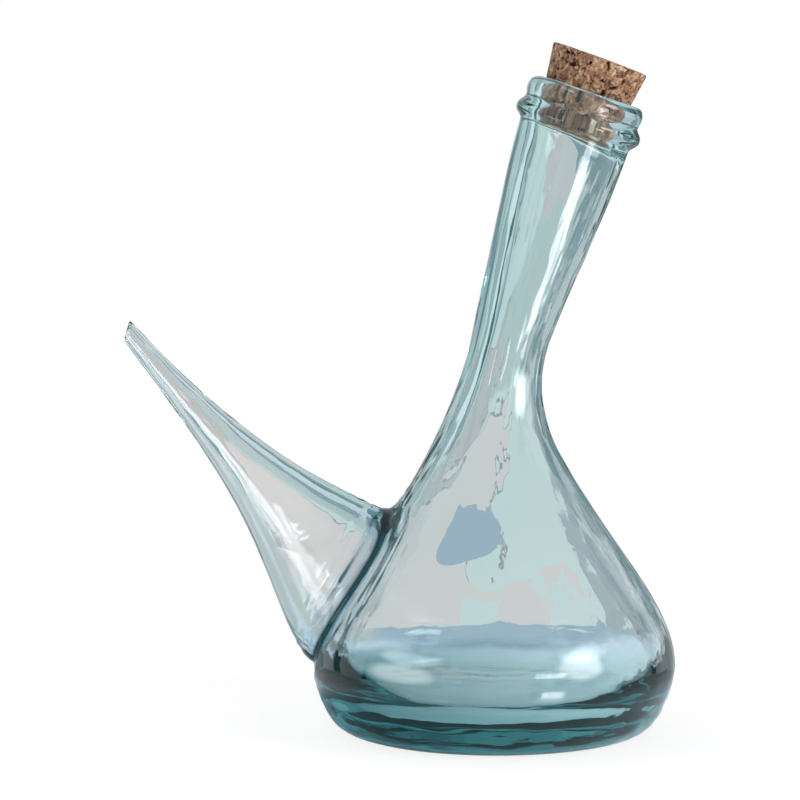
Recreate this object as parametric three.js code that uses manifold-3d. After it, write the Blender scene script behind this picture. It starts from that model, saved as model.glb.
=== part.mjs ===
// A hand-blown glass oil cruet: a squat bulb whose neck leans to one side, a long
// tapering spout joined on at the other, a glass thread wound under the lip, and a cork.
// Base, bulb and neck are blown as one: here they are three solids that part just above
// the inside floor and at the waist.
// Millimetres, +Z up. The origin is the middle of the flat underside. The neck leans
// towards +X and the spout rises towards -X, so the cruet is symmetrical about Y = 0.

import * as THREE from "three";
import { mergeVertices } from "three/addons/utils/BufferGeometryUtils.js";
import Module from "manifold-3d";

const wasm = await Module();
wasm.setup();

// Cork
const CORK_LENGTH = 20.5;
const CORK_INSERTED = 10.3;
const CORK_TOP_RADIUS = 14.3;
const CORK_BOTTOM_RADIUS = 11.3;
const CORK_EDGE = 0.6;
const CORK_CROOKED = 2.5; // degrees that it sits askew in the mouth, further over than the neck
const CORK_CLEARANCE = 0.3;

// Bulb, as heights above the underside and radii from its axis
const FOOT_RADIUS = 40;
const FOOT_ROUND = 8.8; // how far the underside runs on level as it turns up into the side
const BELLY_RADIUS = 52.3;
const BELLY_HEIGHT = 20;
const BELLY_ROUND_BELOW = 4.8;
const BELLY_ROUND_ABOVE = 23;
const BASE_THICKNESS = 9;
const FLOOR_RADIUS = 31;
const BULB_WALL = 3.5;

// Neck, as distances along its axis from the underside
const WAIST_AT = 109.8;
const WAIST_RADIUS = 10.85;
const WAIST_ROUND_BELOW = 35.7;
const WAIST_ROUND_ABOVE = 13.2;
const FLARE_END_BEFORE_MOUTH = 14.5;
const FLARE_ROUND = 14;
const NECK_WALL = 3.8;
const MOUTH_AT = 187.2;
const MOUTH_WALL = 3;
const BEND_START = 76;
const BEND_END = 124;
const LEAN = 17.6; // degrees
const CAVITY_SHIFT = 1.1; // the glass is thinner on the side that the neck leans to

// Lip and the thread wound below it
const LIP_HEIGHT = 6.2;
const LIP_STANDS_OUT = 0.9;
const LIP_EDGE = 1.2;
const THREAD_HEIGHT = 4.6;
const THREAD_STANDS_OUT = 2.3;
const THREAD_EDGE = 0.8;
const THREAD_GAP = 0.3;

// Spout, as distances along its axis from where that leaves the bulb
const SPOUT_LEAVES_AT = 45; // height of that point
const SPOUT_RISE = 47.7; // degrees above level
const SPOUT_LENGTH = 92.9;
const SPOUT_ROOT_DEPTH = 9.4;
const SPOUT_ROOT_RADIUS = 25;
const SPOUT_ROOT_HALF_WIDTH = 16; // the root is an upright oval, and the shank is round
const SPOUT_ROOT_EDGE = 1.5;
const SPOUT_FLARE_LENGTH = 25.5;
const SPOUT_FLARE_NARROWS = 3.5;
const SPOUT_SHANK_START = 4.8;
const SPOUT_SHANK_RADIUS = 5.2; // sets how full the long taper is
const SPOUT_TIP_RADIUS = 2.5;
const SPOUT_TIP_SPARE = 6; // made longer than needed, then cut off at the tip
const SPOUT_CUT = 16; // degrees that the cut tip faces above level
const SPOUT_BORE_RADIUS = 1.2;
const SPOUT_ROOT_WALL = 3.9;
const SPOUT_SHANK_WALL = 2.2;
const SEAM_GAP = 0.35;

// Where base, bulb and neck part
const BASE_RIM_ABOVE_FLOOR = 1.4;
const PARTING_GAP = 0.3;

// Facets
const AROUND_BODY = 40;
const AROUND_SPOUT = 28;
const AROUND_CORK = 36;
const OVERRUN = 20; // how far a cutting shape runs past what it cuts

const rad = THREE.MathUtils.degToRad;
const corkRadiusAt = (height) =>
  THREE.MathUtils.mapLinear(height, 0, CORK_LENGTH, CORK_BOTTOM_RADIUS, CORK_TOP_RADIUS);
const mouthRadius = corkRadiusAt(CORK_INSERTED) + CORK_CLEARANCE;
const neckTopRadius = mouthRadius + MOUTH_WALL;
const lipStart = MOUTH_AT - LIP_HEIGHT;
const waistStart = WAIST_AT - WAIST_ROUND_BELOW;
const baseRim = BASE_THICKNESS + BASE_RIM_ABOVE_FLOOR;
const flareEnd = MOUTH_AT - FLARE_END_BEFORE_MOUTH;
const lean = rad(LEAN);
const bendRadius = (BEND_END - BEND_START) / lean;
const tiltAt = (along) => THREE.MathUtils.clamp((along - BEND_START) / bendRadius, 0, lean);

// An outline in (radius, distance along the axis), with a stated number of steps on each curve
class Profile {
  constructor(radius, along) {
    this.points = [new THREE.Vector2(radius, along)];
  }

  line(radius, along) {
    this.points.push(new THREE.Vector2(radius, along));
    return this;
  }

  curve(steps, firstHandle, lastHandle, radius, along) {
    const curve = new THREE.CubicBezierCurve(
      this.points.at(-1),
      new THREE.Vector2(...firstHandle),
      new THREE.Vector2(...lastHandle),
      new THREE.Vector2(radius, along));
    this.points.push(...curve.getPoints(steps).slice(1));
    return this;
  }

  // Turned about Z into a solid: the outline starts and ends on the axis, or closes
  turned(around) {
    const geometry = new THREE.LatheGeometry(this.points, around);
    geometry.rotateX(Math.PI / 2);
    return geometry;
  }
}

// Bulb and neck up to the lip, grown by a gap where the shape cuts the spout
function outsideUpToLip(grown) {
  const belly = BELLY_RADIUS + grown;
  const waist = WAIST_RADIUS + grown;
  const top = neckTopRadius + grown;
  const foot = FOOT_RADIUS + grown;
  return new Profile(0, 0)
    .line(foot, 0)
    .curve(6, [foot + FOOT_ROUND, 0], [belly, BELLY_HEIGHT - BELLY_ROUND_BELOW], belly, BELLY_HEIGHT)
    .curve(16, [belly, BELLY_HEIGHT + BELLY_ROUND_ABOVE], [waist, waistStart], waist, WAIST_AT)
    .curve(7, [waist, WAIST_AT + WAIST_ROUND_ABOVE], [top, flareEnd - FLARE_ROUND], top, flareEnd);
}

function bodyProfile() {
  const bead = neckTopRadius + LIP_STANDS_OUT;
  return outsideUpToLip(0)
    .line(neckTopRadius, lipStart)
    .curve(5, [bead, lipStart], [bead, MOUTH_AT], mouthRadius + LIP_EDGE, MOUTH_AT)
    .line(0, MOUTH_AT);
}

function grownBodyProfile() {
  return outsideUpToLip(SEAM_GAP)
    .line(0, flareEnd);
}

function cavityProfile() {
  const belly = BELLY_RADIUS - BULB_WALL;
  const waist = WAIST_RADIUS - NECK_WALL;
  const top = neckTopRadius - NECK_WALL;
  const widest = BELLY_HEIGHT + BULB_WALL;
  return new Profile(0, BASE_THICKNESS)
    .line(FLOOR_RADIUS, BASE_THICKNESS)
    .curve(5, [belly - BULB_WALL, BASE_THICKNESS], [belly, BELLY_HEIGHT], belly, widest)
    .curve(13, [belly, BELLY_HEIGHT + BELLY_ROUND_ABOVE], [waist, waistStart], waist, WAIST_AT)
    .curve(5, [waist, WAIST_AT + WAIST_ROUND_ABOVE], [top, flareEnd - FLARE_ROUND], top, flareEnd)
    .line(top, MOUTH_AT + OVERRUN)
    .line(0, MOUTH_AT + OVERRUN);
}

// The room that the cork sits in, from below its end to out past the lip
function seatProfile() {
  const bottom = CORK_BOTTOM_RADIUS + CORK_CLEARANCE;
  const inEdge = CORK_INSERTED - LIP_EDGE;
  return new Profile(0, -bottom)
    .line(bottom / 2, -bottom)
    .line(bottom, -CORK_CLEARANCE)
    .line(corkRadiusAt(inEdge) + CORK_CLEARANCE, inEdge)
    .line(mouthRadius + LIP_EDGE, CORK_INSERTED + CORK_CLEARANCE)
    .line(mouthRadius + OVERRUN, CORK_INSERTED + OVERRUN)
    .line(0, CORK_INSERTED + OVERRUN);
}

function corkProfile() {
  const side = CORK_LENGTH - CORK_EDGE;
  return new Profile(0, 0)
    .line(CORK_BOTTOM_RADIUS - CORK_EDGE, 0)
    .line(corkRadiusAt(CORK_EDGE), CORK_EDGE)
    .line(corkRadiusAt(side), side)
    .line(CORK_TOP_RADIUS - CORK_EDGE, CORK_LENGTH)
    .line(0, CORK_LENGTH);
}

// One round of the thread, a bead with its flat side against the neck
function threadProfile() {
  const inside = neckTopRadius + THREAD_GAP;
  const outside = neckTopRadius + THREAD_STANDS_OUT;
  const top = lipStart - THREAD_GAP;
  const bottom = top - THREAD_HEIGHT;
  const middle = (bottom + top) / 2;
  return new Profile(inside, bottom + THREAD_EDGE)
    .curve(4, [inside + THREAD_EDGE, bottom], [outside, bottom], outside, middle)
    .curve(4, [outside, top], [inside + THREAD_EDGE, top], inside, top - THREAD_EDGE)
    .line(inside, bottom + THREAD_EDGE);
}

// A trumpet from inside the bulb to past the tip, run on at both ends where it cuts
function spoutProfile(rootRadius, shankRadius, tipRadius, overrun) {
  const root = -SPOUT_ROOT_DEPTH;
  const flareEnd = root + SPOUT_FLARE_LENGTH;
  const tip = SPOUT_LENGTH + SPOUT_TIP_SPARE;
  return new Profile(0, root - overrun)
    .line(rootRadius - SPOUT_ROOT_EDGE, root - overrun)
    .line(rootRadius - SPOUT_ROOT_EDGE, root)
    .line(rootRadius, root + SPOUT_ROOT_EDGE)
    .curve(12, [rootRadius - SPOUT_FLARE_NARROWS, flareEnd],
      [shankRadius, flareEnd + SPOUT_SHANK_START], tipRadius, tip)
    .line(tipRadius, tip + overrun)
    .line(0, tip + overrun);
}

// Moves a point of the straight blown vessel to where it lies once the neck is bent over
function bendPoint(point) {
  const along = point.z;
  const tilt = tiltAt(along);
  const straight = Math.max(along - BEND_END, 0);
  const upright = Math.min(along, BEND_START);
  const centreX = bendRadius * (1 - Math.cos(tilt)) + straight * Math.sin(lean);
  const centreZ = upright + bendRadius * Math.sin(tilt) + straight * Math.cos(lean);
  const across = point.x;
  point.x = centreX + across * Math.cos(tilt);
  point.z = centreZ - across * Math.sin(tilt);
  return point;
}

function bent(geometry) {
  const position = geometry.attributes.position;
  const point = new THREE.Vector3();
  for (let n = 0; n < position.count; n += 1) {
    bendPoint(point.fromBufferAttribute(position, n));
    position.setXYZ(n, point.x, point.y, point.z);
  }
  return geometry;
}

function toManifold(geometry) {
  const bare = geometry.clone();
  bare.deleteAttribute("normal");
  bare.deleteAttribute("uv");
  const merged = mergeVertices(bare, 1e-4);
  const corners = merged.index.array;
  const kept = [];
  for (let n = 0; n < corners.length; n += 3) {
    const [a, b, c] = corners.slice(n, n + 3);
    if (a !== b && b !== c && c !== a) {
      kept.push(a, b, c);
    }
  }
  return new wasm.Manifold(new wasm.Mesh({
    numProp: 3,
    vertProperties: merged.attributes.position.array,
    triVerts: new Uint32Array(kept),
  }));
}

function toGeometry(solid) {
  const mesh = solid.getMesh();
  const geometry = new THREE.BufferGeometry();
  geometry.setAttribute("position", new THREE.BufferAttribute(mesh.vertProperties, 3));
  geometry.setIndex(new THREE.BufferAttribute(mesh.triVerts, 1));
  geometry.computeVertexNormals();
  return geometry;
}

// Height of the bulb's outside gives its radius there
function bulbRadiusAt(height) {
  const { points } = outsideUpToLip(0);
  const above = points.findIndex((p) => p.y > height);
  const [low, high] = [points[above - 1], points[above]];
  return THREE.MathUtils.mapLinear(height, low.y, high.y, low.x, high.x);
}

// Narrows the turned trumpet from side to side wherever it is wider than the shank
function narrowed(geometry) {
  const position = geometry.attributes.position;
  const share = (SPOUT_ROOT_RADIUS - SPOUT_ROOT_HALF_WIDTH) / (SPOUT_ROOT_RADIUS - SPOUT_SHANK_RADIUS);
  for (let n = 0; n < position.count; n += 1) {
    const radius = Math.hypot(position.getX(n), position.getY(n));
    if (radius > SPOUT_SHANK_RADIUS) {
      const halfWidth = radius - share * (radius - SPOUT_SHANK_RADIUS);
      position.setY(n, position.getY(n) * halfWidth / radius);
    }
  }
  return geometry;
}

// Stands what was turned about Z on the bulb's side, pointing up along the spout
function placedAsSpout(geometry) {
  narrowed(geometry);
  geometry.rotateY(-rad(90 - SPOUT_RISE));
  geometry.translate(-bulbRadiusAt(SPOUT_LEAVES_AT), 0, SPOUT_LEAVES_AT);
  return geometry;
}

// A block that lies beyond the cut tip
function beyondTip() {
  const size = 2 * OVERRUN;
  const block = new THREE.BoxGeometry(size, size, size);
  block.translate(-size / 2, 0, 0);
  block.rotateY(rad(SPOUT_CUT));
  const tip = new THREE.Vector3(0, 0, SPOUT_LENGTH);
  tip.applyAxisAngle(new THREE.Vector3(0, 1, 0), -rad(90 - SPOUT_RISE));
  block.translate(tip.x - bulbRadiusAt(SPOUT_LEAVES_AT), 0, tip.z + SPOUT_LEAVES_AT);
  return block;
}

// The frame of the cork: its axis runs up through the middle of the mouth
function corkFrame() {
  const frame = new THREE.Group();
  const mouth = bendPoint(new THREE.Vector3(0, 0, MOUTH_AT));
  const tilt = lean + rad(CORK_CROOKED);
  frame.rotation.y = tilt;
  frame.position.set(
    mouth.x - CORK_INSERTED * Math.sin(tilt), 0, mouth.z - CORK_INSERTED * Math.cos(tilt));
  frame.updateMatrix();
  return frame;
}

function glass(colour) {
  return new THREE.MeshStandardMaterial({
    color: colour, roughness: 0.05, metalness: 0, transparent: true, opacity: 0.45 });
}

function spoutBore() {
  const bore = spoutProfile(
    SPOUT_ROOT_RADIUS - SPOUT_ROOT_WALL,
    SPOUT_SHANK_RADIUS - SPOUT_SHANK_WALL,
    SPOUT_BORE_RADIUS,
    OVERRUN);
  return toManifold(placedAsSpout(bore.turned(AROUND_SPOUT)));
}

// A block that holds all that lies past a place on the axis, square to the axis there
function past(along, rise) {
  const size = 2 * MOUTH_AT;
  const block = new THREE.BoxGeometry(size, size, size);
  const middle = bendPoint(new THREE.Vector3(0, 0, along));
  block.translate(0, 0, size / 2 + rise);
  block.rotateY(tiltAt(along));
  block.translate(middle.x, 0, middle.z);
  return toManifold(block);
}

function blownVessel() {
  const outside = toManifold(bent(bodyProfile().turned(AROUND_BODY)));
  const cavity = bent(cavityProfile().turned(AROUND_BODY)).translate(CAVITY_SHIFT, 0, 0);
  const seat = seatProfile().turned(AROUND_BODY).applyMatrix4(corkFrame().matrix);
  return outside
    .subtract(toManifold(cavity))
    .subtract(toManifold(seat))
    .subtract(spoutBore());
}

function makeGlassBase(vessel) {
  const base = vessel.subtract(past(baseRim, -PARTING_GAP / 2));
  return new THREE.Mesh(toGeometry(base), glass(0x8fc4bf));
}

function makeGlassBody(vessel) {
  const bulb = vessel
    .intersect(past(baseRim, PARTING_GAP / 2))
    .subtract(past(WAIST_AT, -PARTING_GAP / 2));
  return new THREE.Mesh(toGeometry(bulb), glass(0xb4d6d2));
}

function makeGlassNeck(vessel) {
  const neck = vessel.intersect(past(WAIST_AT, PARTING_GAP / 2));
  return new THREE.Mesh(toGeometry(neck), glass(0xb4d6d2));
}

function makeSpout() {
  const outside = spoutProfile(SPOUT_ROOT_RADIUS, SPOUT_SHANK_RADIUS, SPOUT_TIP_RADIUS, 0);
  const body = toManifold(bent(grownBodyProfile().turned(AROUND_BODY)));
  const solid = toManifold(placedAsSpout(outside.turned(AROUND_SPOUT)))
    .subtract(body)
    .subtract(spoutBore())
    .subtract(toManifold(beyondTip()));
  return new THREE.Mesh(toGeometry(solid), glass(0xbcd6d6));
}

function makeCollarThread() {
  const thread = bent(threadProfile().turned(AROUND_BODY));
  return new THREE.Mesh(toGeometry(toManifold(thread)), glass(0x9cc8c4));
}

function makeCork() {
  const geometry = toGeometry(toManifold(corkProfile().turned(AROUND_CORK)));
  return new THREE.Mesh(geometry, new THREE.MeshStandardMaterial({
    color: 0xa98062, roughness: 0.9, metalness: 0 }));
}

const cruet = new THREE.Group();
const vessel = blownVessel();
const pieces = {
  glass_base: makeGlassBase(vessel),
  glass_body: makeGlassBody(vessel),
  glass_neck: makeGlassNeck(vessel),
  pouring_spout: makeSpout(),
  collar_thread: makeCollarThread(),
};
for (const [name, mesh] of Object.entries(pieces)) {
  mesh.name = name;
  cruet.add(mesh);
}

const corkAxis = corkFrame();
const cork = makeCork();
cork.name = "cork_stopper";
corkAxis.add(cork);
cruet.add(corkAxis);

export default cruet;
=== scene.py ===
"""A hand-blown glass oil cruet with its cork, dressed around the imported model.

Shapes are worked out in millimetres in the model's own frame, and go into Blender in metres.
The glass is one fused skin. Bulb, neck, collar and lip are pulled up ring by ring from the
underside and back down inside to the floor. The spout is a sleeve pulled the same way, out to
its tip and back down its bore, and let into a hole in the bulb.
"""

import math
from collections import namedtuple

import bpy
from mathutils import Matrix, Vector, kdtree, noise


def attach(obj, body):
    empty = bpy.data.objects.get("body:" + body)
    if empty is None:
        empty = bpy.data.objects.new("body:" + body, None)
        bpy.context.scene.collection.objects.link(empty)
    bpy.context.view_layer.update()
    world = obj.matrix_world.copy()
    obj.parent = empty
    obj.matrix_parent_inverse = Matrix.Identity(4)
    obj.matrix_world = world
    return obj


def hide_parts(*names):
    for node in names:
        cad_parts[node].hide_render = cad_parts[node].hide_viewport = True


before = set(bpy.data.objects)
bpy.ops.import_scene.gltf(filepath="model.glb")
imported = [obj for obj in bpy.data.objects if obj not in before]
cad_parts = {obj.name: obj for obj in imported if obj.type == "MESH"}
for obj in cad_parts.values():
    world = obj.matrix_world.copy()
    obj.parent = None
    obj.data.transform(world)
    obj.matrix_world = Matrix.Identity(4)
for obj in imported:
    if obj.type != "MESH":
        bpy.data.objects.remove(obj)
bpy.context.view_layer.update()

MM = 0.001

# The straight blown shape: radii, and distances along its axis from the underside
FOOT_RADIUS = 40
FOOT_ROUND = 8.8
BELLY_RADIUS = 52.3
BELLY_HEIGHT = 20
BELLY_ROUND_BELOW = 4.8
BELLY_ROUND_ABOVE = 23
WAIST_START = 74.1
WAIST_AT = 109.8
WAIST_RADIUS = 10.85
WAIST_ROUND_ABOVE = 13.2
FLARE_ROUND = 14
FLARE_END = 172.7
NECK_TOP_RADIUS = 16.1
MOUTH_AT = 187.2
BASE_THICKNESS = 9
FLOOR_RADIUS = 31
BULB_WALL = 3.5
NECK_WALL = 3.8
CAVITY_SHIFT = 1.1  # the glass is thinner on the side that the neck leans to
UNDERSIDE_RADII = (12, 24, 34)
INSIDE_FLOOR_RADII = (22, 11)
NECK_INSIDE_END = 170.5
COLLAR_AND_LIP = [
    (16.1, 174.8), (16.9, 175.7), (18.2, 176.7), (18.5, 178.3), (17.9, 179.8), (16.9, 180.7),
    (16.6, 181.5), (16.8, 182.4), (17.1, 183.7), (17.0, 185.3), (16.3, 186.7), (15.2, 187.3)]

# The bend of the neck
BEND_START = 76
BEND_END = 124
LEAN = math.radians(17.6)
BEND_RADIUS = (BEND_END - BEND_START) / LEAN

# The cork and the seat that it's pushed into
CORK_TILT = math.radians(20.1)
CORK_LENGTH = 20.5
CORK_INSERTED = 10.3
CORK_TOP_RADIUS = 14.3
CORK_BOTTOM_RADIUS = 11.3
CORK_EDGE = 0.6
CORK_CLEARANCE = 0.3
CORK_AXIS = Vector((math.sin(CORK_TILT), 0, math.cos(CORK_TILT)))
SEAT_HEIGHTS = (9, 7, 4.5, 2, 0.2)  # above the cork's foot, on the way down
SEAT_FLARE = 1.2
GRANULE = 2.5
SMALL_GRANULE = 1.05
CORK_GRID = 0.26
CORK_SEED = 1  # decides how the granules lie
STAIN_BELOW = 3
STAIN_ABOVE = 1
STAIN_DARKER = 0.12

# The spout: (radius, distance along its axis from where that leaves the bulb)
SPOUT_LEAVES = Vector((-41.9, 0, 45))
SPOUT_RISE = math.radians(47.7)
SPOUT_AXIS = Vector((-math.cos(SPOUT_RISE), 0, math.sin(SPOUT_RISE)))
SPOUT_UP = Vector((math.sin(SPOUT_RISE), 0, math.cos(SPOUT_RISE)))
SPOUT_LENGTH = 94.4
SPOUT_CUT = math.radians(16)
SPOUT_OUTSIDE = [(25, -9.4), (21.5, 16.1), (5.2, 20.9), (2.3, 101)]
SPOUT_BORE = [(21.1, -9.4), (17.6, 16.1), (3.0, 20.9), (1.1, 101)]
TIP_LIFT = 1.0  # how far the spout's end is drawn up, from where and over which length
TIP_LIFT_FROM = 56
TIP_LIFT_OVER = 40
TIP_ROUND_BACK = 0.1
TIP_ROUND_IN = 0.15
SHANK_RADIUS = 5.2
ROOT_NARROWS = 0.4545  # share of a radius past the shank's that the oval root loses sideways

# The join of spout and bulb: a crease, filled in at the top
SEAM_SIDE = 1.7
SEAM_TOP_SIDE = 3.4
SEAM_TOP_REACH = math.radians(50)
SEAM_INNER_BOTTOM_SIDE = 0.3
INNER_CORNER_UP = 0.4
INNER_CORNER_OUT = 0.3
SEAM_DEPTH = 1.1
SEAM_TOP_FILL = 1.3
RIDGES_START = 1.6
RIDGES_REACH = 11
RIDGES_PITCH = 3.4
RIDGES_DEPTH = 0.16
# How far from the crease the painted bluish-grey shade on the glass reaches, in millimetres
SEAM_SHADE_REACH = 7
ROOT_SIDE = -15  # the spout's root and what is near it lie below this X
SEAM_STEPS = 8
WELD_WITHIN = 0.05
FOUND_WITHIN = 0.2

# The rings before they're subdivided
COLUMNS = 48
FOOT_RINGS = 6
FLANK_RINGS = 16
NECK_RINGS = 8
HOLE_COLUMNS = 6
HOLE_ROWS = 10
HOLE_LOWEST = {"outside": 17, "inside": 18}  # about how high its lowest row lies
HOLE_FADE = 2.4  # how far the rings give way to the hole, in its half widths
HOLE_FADE_ABOVE_FLOOR = 8
HOLE_SLACK = 0.01  # a point this near the hole's edge, in its half widths, lies on it
SLEEVE_COLUMNS = 2 * (HOLE_COLUMNS + HOLE_ROWS)
SLEEVE_SHARES = [0.03, 0.08, 0.15, 0.23, 0.3, 0.38, 0.46, 0.55, 0.64, 0.73, 0.82, 0.9, 0.96, 0.985]
SUBDIVISIONS = 2

# How unevenly it's blown: (name, grain across, deep and along, lean, depth, where)
WAVES = [
    ("slow_waves", (26, 26, 50), 0, 0.45, "free"),
    ("drawn_streaks", (5.5, 5.5, 110), LEAN * 0.8, 0.42, "neck"),
    ("ripples", (6, 6, 16), 0.2, 0.1, "free"),
    ("wrinkles", (2.6, 2.6, 13), -0.35, 0.3, "flank"),
    ("neck_wrinkles", (1.8, 1.8, 9), LEAN, 0.32, "neck_flank"),
    ("foot_folds", (15, 15, 2.6), 0.05, 0.5, "foot"),
    ("crumpled_joint", (1.9, 1.9, 2.8), -0.6, 0.5, "joint"),
]

# Camera, lights and stage, in metres. The floor's fades are (where it ends, where it starts)
CAMERA_AT = Vector((-0.027, -0.97, 0.181))
CAMERA_FACES = Vector((-0.027, 0, 0.0957))
CAMERA_LENS = 153
SOFTBOXES_FACE = Vector((0, 0, 0.08))
SOFTBOX_COLOUR = (0.95, 0.98, 1, 1)
BACKDROP_AT = Vector((0, 0.45, 0.1375))
BACKDROP_SIZE = (0.9, 0.425)
BLUE_CARD_AT = Vector((-0.0105, 0.14, 0.044))
BLUE_CARD_SIZE = (0.019, 0.015)
BLUE_CARD_CORNERS = 0.004
STAGE_FLOOR_AT = Vector((0, 0, -0.0003))
STAGE_FLOOR_RADIUS = 0.5
SHOWN_TO_CAMERA = (0.26, 0.10)
SHOWN_TO_GLASS = (0.11, 0.08)
UNDER_GLASS = (0.088, 0.066)

WHITE = (1, 1, 1, 1)

GLASS_NODES = ("glass_base", "glass_body", "glass_neck", "pouring_spout", "collar_thread")

Ring = namedtuple("Ring", "centre half_length half_width lean")


def deselect_all():
    """Leaves nothing selected."""
    bpy.ops.object.select_all(action="DESELECT")


def only(obj):
    """Selects one object and makes it the active one."""
    deselect_all()
    obj.select_set(True)
    bpy.context.view_layer.objects.active = obj


def apply_modifier(obj, kind, **settings):
    """Puts a modifier on the object and applies it."""
    only(obj)
    modifier = obj.modifiers.new(kind.lower(), kind)
    for name, value in settings.items():
        setattr(modifier, name, value)
    bpy.ops.object.modifier_apply(modifier=modifier.name)


def ring_across(left, right, half_width):
    """The flat oval ring that crosses the plane Y = 0 at two points."""
    chord = right - left
    return Ring((left + right) / 2, chord.length / 2, half_width, math.atan2(-chord.z, chord.x))


def pull_rings(name, columns, rings):
    """Draws a tube: a circle at the first ring, its open edge extruded to each of the others."""
    deselect_all()
    ring = rings[0]
    bpy.ops.mesh.primitive_circle_add(
        vertices=columns, radius=ring.half_length * MM, fill_type="NOTHING",
        location=ring.centre * MM, rotation=(0, ring.lean, 0))
    tube = bpy.context.object
    tube.name = name
    bpy.ops.object.transform_apply(location=True, rotation=True, scale=False)
    bpy.ops.object.mode_set(mode="EDIT")
    bpy.ops.mesh.select_mode(type="EDGE")
    bpy.ops.mesh.select_all(action="SELECT")
    bpy.ops.transform.resize(
        value=(1, ring.half_width / ring.half_length, 1), center_override=ring.centre * MM)
    for following in rings[1:]:
        centre = following.centre * MM
        longer = following.half_length / ring.half_length
        wider = following.half_width / ring.half_width
        bpy.ops.mesh.extrude_region_move(
            TRANSFORM_OT_translate={"value": (following.centre - ring.centre) * MM})
        bpy.ops.transform.resize(value=(longer, wider, longer), center_override=centre)
        bpy.ops.transform.rotate(
            value=ring.lean - following.lean, orient_axis="Y", center_override=centre)
        ring = following
    bpy.ops.object.mode_set(mode="OBJECT")
    return tube


def column_of(point, ring, columns):
    """Which of a ring's points this is, counted from +X through +Y."""
    chord = Vector((math.cos(ring.lean), 0, -math.sin(ring.lean)))
    along = (point - ring.centre).dot(chord) / ring.half_length
    angle = math.atan2(point.y / ring.half_width, along)
    return round(angle / (2 * math.pi) * columns) % columns


def close_ends(tube, columns):
    """Fills both open ends, each with triangles round a middle point."""
    only(tube)
    bpy.ops.object.mode_set(mode="EDIT")
    bpy.ops.mesh.select_all(action="DESELECT")
    bpy.ops.mesh.select_non_manifold()
    bpy.ops.mesh.fill_holes(sides=0)
    bpy.ops.mesh.select_all(action="DESELECT")
    bpy.ops.mesh.select_mode(type="FACE")
    bpy.ops.mesh.select_face_by_sides(number=columns, type="EQUAL")
    bpy.ops.mesh.poke()
    bpy.ops.object.mode_set(mode="OBJECT")


def delete_faces(obj, chosen):
    """Deletes the faces for which chosen says yes."""
    only(obj)
    bpy.ops.object.mode_set(mode="EDIT")
    bpy.ops.mesh.select_mode(type="FACE")
    bpy.ops.mesh.select_all(action="DESELECT")
    bpy.ops.object.mode_set(mode="OBJECT")
    for face in obj.data.polygons:
        face.select = chosen(face)
    bpy.ops.object.mode_set(mode="EDIT")
    bpy.ops.mesh.delete(type="FACE")
    bpy.ops.object.mode_set(mode="OBJECT")


def weld(obj, distance):
    """Merges points that meet, and turns every face outwards."""
    only(obj)
    bpy.ops.object.mode_set(mode="EDIT")
    bpy.ops.mesh.select_all(action="SELECT")
    bpy.ops.mesh.remove_doubles(threshold=distance)
    bpy.ops.mesh.normals_make_consistent(inside=False)
    bpy.ops.object.mode_set(mode="OBJECT")


def cubic(points, t):
    """The place on a cubic curve that four points steer, at t from 0 to 1."""
    a, b, c, d = (Vector(p) for p in points)
    s = 1 - t
    return s ** 3 * a + 3 * s * s * t * b + 3 * s * t * t * c + t ** 3 * d


def curve(points, steps):
    """Places on a cubic curve in (radius, along), without its first point."""
    return [tuple(cubic(points, n / steps)) for n in range(1, steps + 1)]


def foot_curve(steps):
    """From the underside round to the belly."""
    return curve([(FOOT_RADIUS, 0), (FOOT_RADIUS + FOOT_ROUND, 0),
                  (BELLY_RADIUS, BELLY_HEIGHT - BELLY_ROUND_BELOW),
                  (BELLY_RADIUS, BELLY_HEIGHT)], steps)


def flank_curve(wall, steps):
    """From the belly up to the waist, outside or a wall further in."""
    belly = BELLY_RADIUS - wall
    waist = WAIST_RADIUS - wall
    return curve([(belly, BELLY_HEIGHT + wall), (belly, BELLY_HEIGHT + BELLY_ROUND_ABOVE),
                  (waist, WAIST_START), (waist, WAIST_AT)], steps)


def neck_curve(wall, steps):
    """From the waist up to the collar."""
    waist = WAIST_RADIUS - wall
    top = NECK_TOP_RADIUS - wall
    return curve([(waist, WAIST_AT), (waist, WAIST_AT + WAIST_ROUND_ABOVE),
                  (top, FLARE_END - FLARE_ROUND), (top, FLARE_END)], steps)


def floor_curve(steps):
    """From the inside floor round to the belly."""
    belly = BELLY_RADIUS - BULB_WALL
    return curve([(FLOOR_RADIUS, BASE_THICKNESS), (belly - BULB_WALL, BASE_THICKNESS),
                  (belly, BELLY_HEIGHT), (belly, BELLY_HEIGHT + BULB_WALL)], steps)


FINE = 60
BULB_OUTSIDE = [(FOOT_RADIUS, 0)] + foot_curve(FINE) + flank_curve(0, FINE)
BULB_INSIDE = [(FLOOR_RADIUS, BASE_THICKNESS)] + floor_curve(FINE) + flank_curve(BULB_WALL, FINE)


def radius_at(outline, along):
    """The radius of an outline, finely drawn from low to high, at a distance along the axis."""
    for (low_radius, low), (high_radius, high) in zip(outline, outline[1:]):
        if high >= along:
            share = max(0.0, (along - low) / (high - low))
            return low_radius + (high_radius - low_radius) * share
    return outline[-1][0]


def on_vessel(radius, along, angle, shift=0.0):
    """A point of the straight blown shape, once the neck is bent over."""
    across = radius * math.cos(angle)
    tilt = min(max((along - BEND_START) / BEND_RADIUS, 0), LEAN)
    straight = max(along - BEND_END, 0)
    centre_x = BEND_RADIUS * (1 - math.cos(tilt)) + straight * math.sin(LEAN) + shift
    centre_z = min(along, BEND_START) + BEND_RADIUS * math.sin(tilt) + straight * math.cos(LEAN)
    return Vector((centre_x + across * math.cos(tilt), radius * math.sin(angle),
                   centre_z - across * math.sin(tilt)))


CORK_FOOT = on_vessel(0, MOUTH_AT, 0) - CORK_INSERTED * CORK_AXIS


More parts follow.
